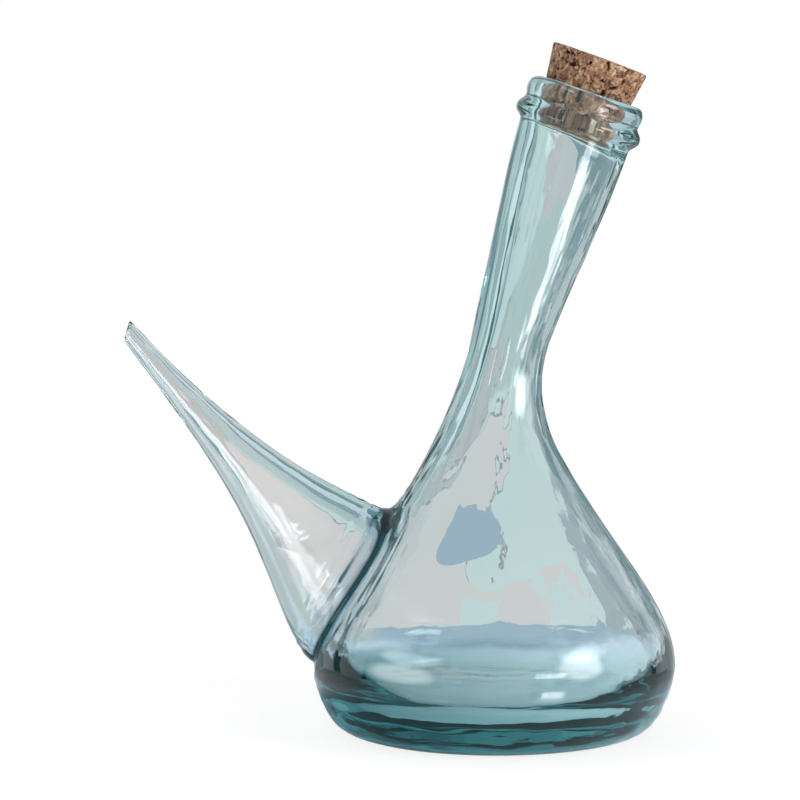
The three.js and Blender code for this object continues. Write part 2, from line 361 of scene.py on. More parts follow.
def cork_radius(height):
    """The cork's radius at a height above its foot."""
    return CORK_BOTTOM_RADIUS + (CORK_TOP_RADIUS - CORK_BOTTOM_RADIUS) * height / CORK_LENGTH


def on_spout(outline, distance, angle, grown=0.0):
    """A point of the spout's outside or bore. Angle 0 is its upper side."""
    low, high = 0.0, 1.0
    for _ in range(26):
        t = (low + high) / 2
        low, high = (t, high) if cubic(outline, t).y < distance else (low, t)
    radius = cubic(outline, t).x
    half_width = radius - ROOT_NARROWS * max(0.0, radius - SHANK_RADIUS)
    lift = TIP_LIFT * max(0.0, (distance - TIP_LIFT_FROM) / TIP_LIFT_OVER) ** 2
    up = (radius + grown) * math.cos(angle) + lift
    return (SPOUT_LEAVES + distance * SPOUT_AXIS + up * SPOUT_UP
            + Vector((0, (half_width + grown) * math.sin(angle), 0)))


def first_distance(beyond, low, high):
    """The least distance for which beyond says yes, between a no and a yes."""
    for _ in range(18):
        middle = (low + high) / 2
        low, high = (low, middle) if beyond(middle) else (middle, high)
    return middle


def meets_bulb(outline, bulb, angle, grown=0.0):
    """How far along the spout's axis it comes out of the bulb, on one side of the spout."""
    shift = CAVITY_SHIFT if bulb is BULB_INSIDE else 0.0

    def outside(distance):
        point = on_spout(outline, distance, angle, grown)
        return math.hypot(point.x - shift, point.y) > radius_at(bulb, point.z)

    high, step = 24.0, 4
    while outside(high - step):
        high -= step
    return first_distance(outside, high - step, high)


def meets_cut(outline, angle):
    """How far along its axis the spout reaches the slanting cut at its tip."""
    middle = SPOUT_LEAVES + SPOUT_LENGTH * SPOUT_AXIS
    facing = Vector((-math.cos(SPOUT_CUT), 0, math.sin(SPOUT_CUT)))
    return first_distance(
        lambda distance: (on_spout(outline, distance, angle) - middle).dot(facing) > 0,
        SPOUT_LENGTH - 8, SPOUT_LENGTH + 5)


def vessel_rows():
    """(side, radius, along) from the middle of the underside to the lip and down to the floor."""
    outside = [(radius, 0) for radius in (*UNDERSIDE_RADII, FOOT_RADIUS)] + foot_curve(FOOT_RINGS)
    outside += flank_curve(0, FLANK_RINGS) + neck_curve(0, NECK_RINGS) + COLLAR_AND_LIP
    seat = [(cork_radius(CORK_INSERTED) + SEAT_FLARE, CORK_INSERTED)]
    seat += [(cork_radius(height) + CORK_CLEARANCE, height) for height in SEAT_HEIGHTS]
    neck = neck_curve(NECK_WALL, NECK_RINGS)[:-1]
    neck += [(NECK_TOP_RADIUS - NECK_WALL, NECK_INSIDE_END)]
    floor = [(FLOOR_RADIUS, BASE_THICKNESS)] + floor_curve(FOOT_RINGS)
    inside = list(reversed(floor + flank_curve(BULB_WALL, FLANK_RINGS) + neck))
    inside += [(radius, BASE_THICKNESS) for radius in INSIDE_FLOOR_RADII]
    sides = (("outside", outside), ("seat", seat), ("inside", inside))
    return [(side, *place) for side, places in sides for place in places]


def vessel_ring(row):
    """The ring that a row of the vessel makes once the neck is bent and the cork's seat tilted."""
    side, radius, along = row
    if side == "seat":
        return Ring(CORK_FOOT + along * CORK_AXIS, radius, radius, CORK_TILT)
    shift = CAVITY_SHIFT if side == "inside" else 0.0
    left = on_vessel(radius, along, math.pi, shift)
    right = on_vessel(radius, along, 0, shift)
    return ring_across(left, right, radius)


class Hole:
    """The hole in one wall of the bulb that the spout's sleeve is let into."""

    def __init__(self, rows, side, edge):
        self.rows = rows
        self.side = side
        self.edge = edge
        self.upwards = side == "outside"
        self.shift = 0.0 if self.upwards else CAVITY_SHIFT
        self.outline = BULB_OUTSIDE if self.upwards else BULB_INSIDE
        near = [n for n, row in enumerate(rows) if row[0] == side and row[1] > FOOT_RADIUS / 2]
        low_row = min(near, key=lambda n: abs(rows[n][2] - HOLE_LOWEST[side]))
        self.middle_row = low_row + HOLE_ROWS / 2 * (1 if self.upwards else -1)

    def place(self, column, row):
        """Where a ring's point lies, in half widths of the hole from its middle."""
        up = (row - self.middle_row) / (HOLE_ROWS / 2)
        return (column - COLUMNS / 2) / (HOLE_COLUMNS / 2), up if self.upwards else -up

    def holds(self, column, row):
        """Whether a place between the rings' points lies in the hole."""
        across, up = self.place(column, row)
        return max(abs(across), abs(up)) < 1

    def edge_offset(self, n):
        """How far the edge's nth point lies from the square hole's, as (turn, rise)."""
        n %= SLEEVE_COLUMNS
        half = HOLE_COLUMNS // 2
        if n <= half or n > SLEEVE_COLUMNS - half:
            across = -n if n <= half else SLEEVE_COLUMNS - n
            up = HOLE_ROWS / 2
        elif n <= half + HOLE_ROWS:
            across = -half
            up = HOLE_ROWS / 2 - (n - half)
        elif n <= 3 * half + HOLE_ROWS:
            across = n - (2 * half + HOLE_ROWS)
            up = -HOLE_ROWS / 2
        else:
            across = half
            up = n - (3 * half + HOLE_ROWS) - HOLE_ROWS / 2
        row = round(self.middle_row + (up if self.upwards else -up))
        point = self.edge[n]
        turn = -math.atan2(point.y, self.shift - point.x) - 2 * math.pi * across / COLUMNS
        return turn, point.z - self.rows[row][2]

    def along_edge(self, across, up):
        """Which of the edge's points, and how far past it, lies towards a place round the hole."""
        half = HOLE_COLUMNS / 2
        edge = 1 - HOLE_SLACK
        if up >= edge:
            return -across * half
        if across <= -edge:
            return half + (1 - up) / 2 * HOLE_ROWS
        if up <= -edge:
            return half + HOLE_ROWS + (across + 1) * half
        return 3 * half + HOLE_ROWS + (up + 1) / 2 * HOLE_ROWS

    def give_way(self, column, row):
        """The place that a ring's point moves to so that the rings run smoothly round the hole."""
        across, up = self.place(column, row)
        reach = max(abs(across), abs(up))
        along = self.rows[row][2]
        still = 0 if self.upwards else BASE_THICKNESS
        in_reach = 1 - HOLE_SLACK <= reach <= HOLE_FADE and still < along <= BEND_START
        if not in_reach:
            return None
        n = self.along_edge(across / reach, up / reach)
        if reach < 1 + HOLE_SLACK:
            return self.edge[round(n) % SLEEVE_COLUMNS]
        share = n - math.floor(n)
        turn, rise = (Vector(self.edge_offset(math.floor(n))) * (1 - share)
                      + Vector(self.edge_offset(math.floor(n) + 1)) * share)
        fade = 1 - (reach - 1) / (HOLE_FADE - 1)
        fade *= fade * (3 - 2 * fade) * min(1.0, (along - still) / HOLE_FADE_ABOVE_FLOOR)
        along += rise * fade
        angle = 2 * math.pi * column / COLUMNS + turn * fade
        return on_vessel(radius_at(self.outline, along), along, angle, self.shift)


def make_blown_skin(rows, holes):
    """Bulb, neck, collar and lip, outside and inside, with the hole for the spout in each wall."""
    rings = [vessel_ring(row) for row in rows]
    skin = pull_rings("blown_skin", COLUMNS, rings)
    mesh = skin.data
    places = {}
    for vertex in mesh.vertices:
        row = vertex.index // COLUMNS
        places[vertex.index] = (column_of(vertex.co / MM, rings[row], COLUMNS), row)
    for vertex in mesh.vertices:
        column, row = places[vertex.index]
        for hole in holes:
            if hole.side == rows[row][0]:
                moved = hole.give_way(column, row)
                if moved:
                    vertex.co = moved * MM
    close_ends(skin, COLUMNS)

    def in_a_hole(face):
        corners = [places[n] for n in face.vertices if n in places]
        columns = [column for column, _ in corners]
        if len(corners) < 4 or max(columns) - min(columns) > 1:
            return False
        column = sum(columns) / 4
        row = sum(row for _, row in corners) / 4
        return any(hole.side == rows[int(row)][0] and hole.holds(column, row) for hole in holes)

    delete_faces(skin, in_a_hole)
    return skin


def towards_top(angle):
    """1 at the top of the spout's root, falling to 0 on either side of it."""
    edge = math.cos(SEAM_TOP_REACH)
    return max(0.0, (math.cos(angle) - edge) / (1 - edge))


def seam_side(angle):
    """How far either edge of the seam stands off it, outside."""
    return SEAM_SIDE + (SEAM_TOP_SIDE - SEAM_SIDE) * towards_top(angle)


def inner_side(angle):
    """The same inside the bulb. It narrows at the bottom, where the floor curves away."""
    towards_bottom = max(0.0, -2 * math.cos(angle) - 1)
    return SEAM_SIDE - (SEAM_SIDE - SEAM_INNER_BOTTOM_SIDE) * towards_bottom


def groove_points(angles, seam):
    """The bottom of the crease between spout and bulb."""
    found = []
    for angle, distance in zip(angles, seam):
        point = on_spout(SPOUT_OUTSIDE, distance, angle)
        from_spout = (point - on_spout(SPOUT_OUTSIDE, distance, angle, -1)).normalized()
        from_bulb = Vector((point.x, point.y, 0)).normalized()
        depth = SEAM_DEPTH - (SEAM_DEPTH + SEAM_TOP_FILL) * towards_top(angle)
        found.append(point - depth * (from_spout + from_bulb).normalized())
    return found


def sleeve_rows():
    """The sleeve's rows of points: off the bulb, up the spout, over its tip and down its bore."""
    angles = [2 * math.pi * n / SLEEVE_COLUMNS for n in range(SLEEVE_COLUMNS)]
    seam = [meets_bulb(SPOUT_OUTSIDE, BULB_OUTSIDE, a) for a in angles]
    on_bulb = [meets_bulb(SPOUT_OUTSIDE, BULB_OUTSIDE, a, seam_side(a)) for a in angles]
    cut = [meets_cut(SPOUT_OUTSIDE, a) for a in angles]
    rows = [[on_spout(SPOUT_OUTSIDE, d, a, seam_side(a)) for a, d in zip(angles, on_bulb)]]
    rows.append(groove_points(angles, seam))
    off_seam = [s + seam_side(a) for a, s in zip(angles, seam)]
    rows.append([on_spout(SPOUT_OUTSIDE, d, a) for a, d in zip(angles, off_seam)])
    for share in SLEEVE_SHARES:
        rows.append([on_spout(SPOUT_OUTSIDE, s + (c - s) * share, a)
                     for a, s, c in zip(angles, off_seam, cut)])
    rows.append([on_spout(SPOUT_OUTSIDE, c - TIP_ROUND_BACK, a, -TIP_ROUND_IN)
                 for a, c in zip(angles, cut)])

    corner = [meets_bulb(SPOUT_BORE, BULB_INSIDE, a) for a in angles]
    off_bore = [meets_bulb(SPOUT_BORE, BULB_INSIDE, a, inner_side(a)) for a in angles]
    bore_cut = [meets_cut(SPOUT_BORE, a) for a in angles]
    rows.append([on_spout(SPOUT_BORE, c - TIP_ROUND_BACK, a, TIP_ROUND_IN)
                 for a, c in zip(angles, bore_cut)])
    for share in reversed(SLEEVE_SHARES):
        rows.append([on_spout(SPOUT_BORE, s + (c - s) * share, a)
                     for a, s, c in zip(angles, corner, bore_cut)])
    rows.append([on_spout(SPOUT_BORE, d + INNER_CORNER_UP, a, INNER_CORNER_OUT)
                 for a, d in zip(angles, corner)])
    rows.append([on_spout(SPOUT_BORE, d, a, inner_side(a)) for a, d in zip(angles, off_bore)])
    return rows


def make_spout_sleeve(rows):
    """The spout, pulled as flat ovals, whose ends are then bent to the curve of the bulb."""
    opposite = SLEEVE_COLUMNS // 2
    side = SLEEVE_COLUMNS // 4
    rings = [ring_across(row[opposite], row[0], row[side].y) for row in rows]
    sleeve = pull_rings("spout_sleeve", SLEEVE_COLUMNS, rings)
    for vertex in sleeve.data.vertices:
        row = vertex.index // SLEEVE_COLUMNS
        column = column_of(vertex.co / MM, rings[row], SLEEVE_COLUMNS)
        vertex.co = rows[row][column] * MM
    return sleeve


def paint(obj, name, shades):
    """A colour attribute with a grey for each point, from 0 to 1."""
    attribute = obj.data.color_attributes.new(name, "FLOAT_COLOR", "POINT")
    for shade, colour in zip(shades, attribute.data):
        colour.color = (shade, shade, shade, 1)


def weigh(obj, name, weight):
    """A vertex group whose weight at each point is what weight says, from 0 to 1."""
    group = obj.vertex_groups.new(name=name)
    for vertex in obj.data.vertices:
        group.add([vertex.index], min(1.0, max(0.0, weight(vertex.co / MM))), "REPLACE")


def blow_uneven(obj, name, grain, lean, depth, group):
    """Moves a part of the skin in and out in soft waves."""
    deselect_all()
    bpy.ops.object.empty_add(rotation=(0, lean, 0))
    guide = bpy.context.object
    guide.scale = Vector(grain) * MM
    bpy.context.view_layer.update()
    texture = bpy.data.textures.new(name, "CLOUDS")
    texture.noise_scale = 1.0
    apply_modifier(obj, "DISPLACE", texture=texture, texture_coords="OBJECT",
                   texture_coords_object=guide, strength=depth * MM, mid_level=0.5,
                   vertex_group=group)
    only(guide)
    bpy.ops.object.delete()


def seam_distances(obj, groove):
    """How far each point near the spout's root is from the bottom of the crease, by its index."""
    fine = []
    for here, following in zip(groove, groove[1:] + groove[:1]):
        fine += [here.lerp(following, n / SEAM_STEPS) for n in range(SEAM_STEPS)]
    tree = kdtree.KDTree(len(fine))
    for n, point in enumerate(fine):
        tree.insert(point, n)
    tree.balance()
    return {vertex.index: tree.find(vertex.co / MM)[2]
            for vertex in obj.data.vertices if vertex.co.x < ROOT_SIDE * MM}


def ridge_beside_seam(obj, distances):
    """Pushes low ridges into the skin along the crease, as hot glass folds where it's joined."""
    normals = [vertex.normal.copy() for vertex in obj.data.vertices]
    for index, distance in distances.items():
        if RIDGES_START < distance < RIDGES_REACH:
            fade = math.sin(math.pi * (distance - RIDGES_START) / (RIDGES_REACH - RIDGES_START))
            wave = math.sin(2 * math.pi * distance / RIDGES_PITCH)
            obj.data.vertices[index].co += normals[index] * RIDGES_DEPTH * fade * wave * MM
    obj.data.update()


def fuse(first, second):
    """Joins the second object to the first and welds their common edges."""
    deselect_all()
    second.select_set(True)
    first.select_set(True)
    bpy.context.view_layer.objects.active = first
    bpy.ops.object.join()
    weld(first, WELD_WITHIN * MM)


def weigh_vessel(vessel, notches):
    """The parts of the vessel that the waves are kept to, each fading over some millimetres."""
    weigh(vessel, "free", lambda p: min(p.z / 6, 1 - 0.8 * (p.z - 166) / 8, 0.1 + (p.x + 95) / 30))
    weigh(vessel, "neck", lambda p: min((p.z - 55) / 40, 1 - (p.z - 160) / 10))
    weigh(vessel, "flank", lambda p: min((p.x - 18) / 20, p.z / 8, 1 - (p.z - 50) / 25))
    weigh(vessel, "neck_flank", lambda p: min((p.z - 95) / 30, 1 - (p.z - 160) / 8,
                                              (p.x - 2 - 0.31 * (p.z - 110)) / 8))
    weigh(vessel, "foot", lambda p: min((p.z - 0.5) / 3, 1 - (p.z - 9) / 8))
    weigh(vessel, "joint", lambda p: 1.2 - min((p - n).length for n in notches) / 8)


def make_vessel():
    """The whole glass: one skin, subdivided, creased at the spout's root and blown uneven."""
    rows = vessel_rows()
    sleeve_points = sleeve_rows()
    holes = [Hole(rows, "outside", sleeve_points[0]), Hole(rows, "inside", sleeve_points[-1])]
    vessel = make_blown_skin(rows, holes)
    fuse(vessel, make_spout_sleeve(sleeve_points))
    vessel.name = "blown_glass_vessel"
    groove = sleeve_points[1]
    off_groove = [min((v.co / MM - g).length for g in groove) for v in vessel.data.vertices]
    # Marks the bottom of the crease, where the glass gets a painted near-black shade
    paint(vessel, "seam", [1.0 if off < FOUND_WITHIN else 0.0 for off in off_groove])
    apply_modifier(vessel, "SUBSURF", levels=SUBDIVISIONS, render_levels=SUBDIVISIONS)

    weigh_vessel(vessel, (groove[0], groove[SLEEVE_COLUMNS // 2]))
    distances = seam_distances(vessel, groove)
    # Painted bluish-grey shade on the glass: strongest at the crease, gone a few millimetres from
    # it
    nearness = [max(0.0, 1 - distances.get(n, SEAM_SHADE_REACH) / SEAM_SHADE_REACH)
                for n in range(len(vessel.data.vertices))]
    paint(vessel, "seam_painted_shade", nearness)
    ridge_beside_seam(vessel, distances)
    for wave in WAVES:
        blow_uneven(vessel, *wave)
    only(vessel)
    bpy.ops.object.shade_smooth()
    return vessel


def spread(cell, seed):
    """A number from 0 to 1 that is the same all over one cork granule."""
    return abs(noise.noise(cell * 7.31 + Vector((seed, 2 * seed, 3 * seed)))) * 2 % 1


def soft_step(value, low, high):
    """0 below low and 1 above high, with a smooth rise between them."""
    t = min(1.0, max(0.0, (value - low) / (high - low)))
    return t * t * (3 - 2 * t)


def cork_grain(point):
    """(depth below the smooth cork, tone, darkness) at a point of the pressed granules."""
    wander = noise.noise_vector(point / 1.5) * 1.3 + noise.noise_vector(point / 0.5) * 0.25
    distances, cells = noise.voronoi((point + wander) / GRANULE)
    small_point = point + wander * 0.6 + Vector((40, 0, 0))
    small_distances, small_cells = noise.voronoi(small_point / SMALL_GRANULE)
    tone = 0.5 * spread(cells[0], 1.7) + 0.32 * spread(small_cells[0], 5.3)
    tone += 0.18 * (0.5 + noise.noise(point / 0.8))
    crack = 1 - soft_step(distances[1] - distances[0], 0.0, 0.10)
    fine_crack = 1 - soft_step(small_distances[1] - small_distances[0], 0.0, 0.12)
    gap = 1 - soft_step(distances[2] - distances[0], 0.05, 0.26)
    hollow = soft_step(noise.noise(point / 1.7 + Vector((3, 8, 5))), 0.36, 0.46)
    pit = max(gap * soft_step(spread(cells[1], 3.9), 0.3, 0.6), hollow)
    rough = 0.5 + 0.5 * noise.noise(point / 0.5)
    depth = 0.05 + 0.14 * crack + 0.06 * fine_crack + 0.75 * pit + 0.12 * tone + 0.10 * rough
    dark = max(0.8 * crack * soft_step(spread(cells[1], 6.2), 0.4, 0.8), 0.3 * fine_crack, pit)
    return depth, tone, dark


def make_cork():
    """A tapered stopper cut from pressed cork granules."""
    noise.seed_set(CORK_SEED)
    deselect_all()
    bpy.ops.mesh.primitive_cone_add(
        vertices=96, radius1=CORK_BOTTOM_RADIUS * MM, radius2=CORK_TOP_RADIUS * MM,
        depth=CORK_LENGTH * MM, location=(CORK_FOOT + CORK_AXIS * CORK_LENGTH / 2) * MM,
        rotation=(0, CORK_TILT, 0))
    cork = bpy.context.object
    cork.name = "cork"
    bpy.ops.object.transform_apply(location=True, rotation=True, scale=False)
    bpy.ops.object.mode_set(mode="EDIT")
    bpy.ops.mesh.select_mode(type="EDGE")
    bpy.ops.mesh.select_all(action="SELECT")
    bpy.ops.mesh.edges_select_sharp(sharpness=math.radians(60))
    bpy.ops.mesh.bevel(offset=CORK_EDGE * MM, segments=2)
    bpy.ops.object.mode_set(mode="OBJECT")
    apply_modifier(cork, "REMESH", mode="VOXEL", voxel_size=CORK_GRID * MM)

    mesh = cork.data
    normals = [vertex.normal.copy() for vertex in mesh.vertices]
    attribute = mesh.color_attributes.new("granules", "FLOAT_COLOR", "POINT")
    for vertex, normal, colour in zip(mesh.vertices, normals, attribute.data):
        depth, tone, dark = cork_grain(vertex.co / MM)
        height = (vertex.co / MM - CORK_FOOT).dot(CORK_AXIS)
        inserted = 1 - soft_step(height, CORK_INSERTED - STAIN_BELOW, CORK_INSERTED + STAIN_ABOVE)
        tone -= STAIN_DARKER * inserted
        vertex.co -= normal * depth * MM
        colour.color = (tone, dark, inserted, 1)
    mesh.update()
    only(cork)
    bpy.ops.object.shade_smooth()
    return cork


def new_material(name):
    """(material, its nodes, its links, its shader)"""
    material = bpy.data.materials.new(name)
    material.use_nodes = True
    nodes = material.node_tree.nodes
    return material, nodes, material.node_tree.links, nodes["Principled BSDF"]


def glowing_material(name, colour=WHITE):
    """(material, its nodes, its links, the glow) of a thing that only shines."""
    material, nodes, links, _ = new_material(name)
    nodes.clear()
    glow = nodes.new("ShaderNodeEmission")
    glow.inputs["Color"].default_value = colour
    output = nodes.new("ShaderNodeOutputMaterial")
    links.new(glow.outputs["Emission"], output.inputs["Surface"])
    return material, nodes, links, glow


def add_noise(nodes, links, scale, detail, stretch=(1, 1, 1)):
    """Noise that stays with the piece."""
    coordinates = nodes.new("ShaderNodeTexCoord")
    mapping = nodes.new("ShaderNodeMapping")
    mapping.inputs["Scale"].default_value = stretch
    texture = nodes.new("ShaderNodeTexNoise")
    texture.inputs["Scale"].default_value = scale
    texture.inputs["Detail"].default_value = detail
    links.new(coordinates.outputs["Object"], mapping.inputs["Vector"])
    links.new(mapping.outputs["Vector"], texture.inputs["Vector"])
    return texture.outputs["Fac"]


def math_node(nodes, links, operation, first, second=None):
    """A sum of one or two numbers or outputs."""
    node = nodes.new("ShaderNodeMath")
    node.operation = operation
    for n, value in enumerate((first, second)):
        if isinstance(value, (int, float)):
            node.inputs[n].default_value = value
        elif value is not None:
            links.new(value, node.inputs[n])
    return node.outputs[0]


def smooth(nodes, links, value, low, high):
    """0 below low and 1 above high, or the other way round if low is the larger."""
    node = nodes.new("ShaderNodeMapRange")
    node.interpolation_type = "SMOOTHSTEP"
    rising = low < high
    node.inputs["From Min"].default_value = min(low, high)
    node.inputs["From Max"].default_value = max(low, high)
    node.inputs["To Min"].default_value = 0 if rising else 1
    node.inputs["To Max"].default_value = 1 if rising else 0
    links.new(value, node.inputs["Value"])
    return node.outputs["Result"]


def between(nodes, links, value, low, high, soft):
    """1 from low to high, fading to 0 within a soft edge outside them."""
    return math_node(nodes, links, "MULTIPLY",
                     smooth(nodes, links, value, low - soft, low),
                     smooth(nodes, links, value, high + soft, high))


def mix_colour(nodes, links, share, first, second):
    """The first colour where share is 0, the second where it is 1."""
    node = nodes.new("ShaderNodeMixRGB")
    links.new(share, node.inputs["Fac"])
    for name, value in (("Color1", first), ("Color2", second)):
        if isinstance(value, tuple):
            node.inputs[name].default_value = value
        else:
            links.new(value, node.inputs[name])
    return node.outputs["Color"]


def multiply_colours(nodes, links, first, second):
    """One colour seen through another."""
    node = nodes.new("ShaderNodeVectorMath")
    node.operation = "MULTIPLY"
    links.new(first, node.inputs[0])
    links.new(second, node.inputs[1])
    return node.outputs[0]


def painted(nodes, name):
    """The node that reads what was painted on a piece."""
    node = nodes.new("ShaderNodeAttribute")
    node.attribute_name = name
    return node


def add_bump(nodes, links, surface, grain, strength):
    """Fine unevenness, too fine to be modelled."""
    bump = nodes.new("ShaderNodeBump")
    bump.inputs["Strength"].default_value = strength
    bump.inputs["Distance"].default_value = 0.0002
    links.new(grain, bump.inputs["Height"])
    links.new(bump.outputs["Normal"], surface.inputs["Normal"])


def recycled_glass():
    """Thick pale glass, green where it is deep, with painted shade: near black along the crease at
    the joint, bluish grey beside it.
    """
    material, nodes, links, surface = new_material("recycled_glass")
    surface.inputs["Roughness"].default_value = 0.0
    surface.inputs["IOR"].default_value = 1.5
    surface.inputs["Transmission Weight"].default_value = 1.0
    # A faint teal glow over all the glass: painted light standing in for light caught inside the
    # thick glass
    surface.inputs["Emission Color"].default_value = (0.0015, 0.005, 0.005, 1)
    surface.inputs["Emission Strength"].default_value = 1.0
    material.cycles.emission_sampling = "NONE"

    # Painted shade: the glass's colour goes near black where the crease is marked
    shade = nodes.new("ShaderNodeValToRGB")
    shade.color_ramp.elements[0].position = 0.06
    shade.color_ramp.elements[0].color = WHITE
    shade.color_ramp.elements[1].position = 0.42
    shade.color_ramp.elements[1].color = (0.0, 0.02, 0.025, 1)
    links.new(painted(nodes, "seam").outputs["Fac"], shade.inputs["Fac"])
    # Painted bluish-grey shade over the glass near the crease
    near_seam = painted(nodes, "seam_painted_shade").outputs["Fac"]
    seam_shade_tint = mix_colour(nodes, links, near_seam, WHITE, (0.62, 0.72, 0.82, 1))
    colour = multiply_colours(nodes, links, shade.outputs["Color"], seam_shade_tint)
    links.new(colour, surface.inputs["Base Color"])
    grain = add_noise(nodes, links, scale=260, detail=2, stretch=(1, 1, 0.3))
    add_bump(nodes, links, surface, grain, strength=0.15)

    absorb = nodes.new("ShaderNodeVolumeAbsorption")
    absorb.inputs["Color"].default_value = (0.18, 0.64, 0.66, 1)
    absorb.inputs["Density"].default_value = 42.0
    links.new(absorb.outputs["Volume"], nodes["Material Output"].inputs["Volume"])
    return material


def pressed_cork():
    """Tan and brown granules with near-black gaps, dry and matt."""
    material, nodes, links, surface = new_material("pressed_cork")
    surface.inputs["Roughness"].default_value = 0.88
    surface.inputs["Specular IOR Level"].default_value = 0.25

    split = nodes.new("ShaderNodeSeparateColor")
    links.new(painted(nodes, "granules").outputs["Color"], split.inputs["Color"])
    tone, gap, inserted = split.outputs["Red"], split.outputs["Green"], split.outputs["Blue"]

    mottle = add_noise(nodes, links, scale=1100, detail=4)
    mottle = math_node(nodes, links, "MULTIPLY", mottle, 0.95)
    mottle = math_node(nodes, links, "ADD", mottle, math_node(nodes, links, "SUBTRACT", tone, 0.5))
    tones = nodes.new("ShaderNodeValToRGB")
    ramp = tones.color_ramp
    ramp.elements[0].position = 0.0
    ramp.elements[0].color = (0.70, 0.47, 0.32, 1)
    ramp.elements[1].position = 1.0
    ramp.elements[1].color = (0.11, 0.045, 0.025, 1)
    for position, colour in ((0.22, (0.47, 0.27, 0.16, 1)), (0.45, (0.33, 0.17, 0.095, 1)),
                             (0.68, (0.22, 0.10, 0.055, 1))):
        ramp.elements.new(position).color = colour
    links.new(mottle, tones.inputs["Fac"])
    stain = mix_colour(nodes, links, inserted, WHITE, (1.14, 0.96, 0.92, 1))
    stained = multiply_colours(nodes, links, tones.outputs["Color"], stain)
    colour = mix_colour(nodes, links, gap, stained, (0.02, 0.01, 0.006, 1))
    links.new(colour, surface.inputs["Base Color"])
    grain = add_noise(nodes, links, scale=1500, detail=3)
    add_bump(nodes, links, surface, grain, strength=0.6)
    return material


def softbox_light(name, brightness):
    """A glow that is brightest in the panel's middle and fades to nothing at its edge."""
    material, nodes, links, glow = glowing_material(name, SOFTBOX_COLOUR)
    coordinates = nodes.new("ShaderNodeTexCoord")
    mapping = nodes.new("ShaderNodeMapping")
    mapping.inputs["Scale"].default_value = (2, 2, 2)
    gradient = nodes.new("ShaderNodeTexGradient")
    gradient.gradient_type = "SPHERICAL"
    edge = nodes.new("ShaderNodeMapRange")
    edge.interpolation_type = "SMOOTHSTEP"
    edge.inputs["From Max"].default_value = 0.55
    edge.inputs["To Max"].default_value = brightness
    links.new(coordinates.outputs["Object"], mapping.inputs["Vector"])
    links.new(mapping.outputs["Vector"], gradient.inputs["Vector"])
    links.new(gradient.outputs["Fac"], edge.inputs["Value"])
    links.new(edge.outputs["Result"], glow.inputs["Strength"])
    return material


def add_softbox(name, bearing, distance, height, size, brightness):
    """A glowing panel, its bearing counted in degrees from the camera's side towards +X."""
    bearing = math.radians(bearing)
    where = Vector((distance * math.sin(bearing), -distance * math.cos(bearing), height))
    deselect_all()
    bpy.ops.mesh.primitive_plane_add(size=1, location=where)
    panel = bpy.context.object
    panel.name = name
    panel.scale = (*size, 1)
    panel.rotation_euler = (SOFTBOXES_FACE - where).to_track_quat("Z", "Y").to_euler()
    panel.visible_camera = False
    panel.data.materials.append(softbox_light(name, brightness))


def add_camera():
    """The photo's view: from the front and a little above, through a long lens."""
    camera = bpy.data.cameras.new("camera")
    camera.sensor_width = 36
    camera.lens = CAMERA_LENS
    stand = bpy.data.objects.new("camera", camera)
    stand.location = CAMERA_AT
    stand.rotation_euler = (CAMERA_FACES - CAMERA_AT).to_track_quat("-Z", "Y").to_euler()
    bpy.context.scene.collection.objects.link(stand)
    bpy.context.scene.camera = stand


def pale_floor():
    """Glows white to the camera. To the glass it is a dim painted glow with painted shade, darker
    in the middle and at the left.
    """
    material, nodes, links, surface = new_material("pale_floor")
    surface.inputs["Roughness"].default_value = 0.8
    surface.inputs["Specular IOR Level"].default_value = 0.1
    surface.inputs["Emission Strength"].default_value = 1.0
    seen = nodes.new("ShaderNodeLightPath").outputs["Is Camera Ray"]
    coordinates = nodes.new("ShaderNodeTexCoord").outputs["Object"]
    length = nodes.new("ShaderNodeVectorMath")
    length.operation = "LENGTH"
    links.new(coordinates, length.inputs[0])
    from_middle = length.outputs["Value"]
    place = nodes.new("ShaderNodeSeparateXYZ")
    links.new(coordinates, place.inputs[0])
    x = place.outputs["X"]

    in_view = smooth(nodes, links, from_middle, *SHOWN_TO_CAMERA)
    in_view = math_node(nodes, links, "MULTIPLY", in_view, seen)
    in_glass = smooth(nodes, links, from_middle, *SHOWN_TO_GLASS)
    alpha = math_node(nodes, links, "MAXIMUM", in_glass, in_view)
    links.new(alpha, surface.inputs["Alpha"])

    to_right = smooth(nodes, links, x, -0.06, 0.08)
    to_side = smooth(nodes, links, math_node(nodes, links, "ABSOLUTE", x), 0.010, 0.045)
    under = smooth(nodes, links, from_middle, *UNDER_GLASS)
    # Painted shade in the glow: dark in a strip down the middle, and to the left beneath the glass
    around = mix_colour(nodes, links, to_side, (0.12, 0.15, 0.20, 1), (0.56, 0.60, 0.68, 1))
    beneath = mix_colour(nodes, links, to_right, (0.12, 0.18, 0.20, 1), (0.66, 0.72, 0.76, 1))
    glow = mix_colour(nodes, links, under, around, beneath)
    glow = mix_colour(nodes, links, seen, glow, (0.80, 0.78, 0.77, 1))
    base = mix_colour(nodes, links, seen, (0.20, 0.28, 0.32, 1), (0.30, 0.30, 0.30, 1))
    links.new(glow, surface.inputs["Emission Color"])
    links.new(base, surface.inputs["Base Color"])
    return material


def add_floor():
    """A round floor that fades into the white around it."""
    deselect_all()
    bpy.ops.mesh.primitive_circle_add(
        vertices=96, radius=STAGE_FLOOR_RADIUS, fill_type="NGON", location=STAGE_FLOOR_AT)
    floor = bpy.context.object
    floor.name = "pale_floor"
    bpy.ops.object.transform_apply(location=True)
    floor.data.materials.append(pale_floor())


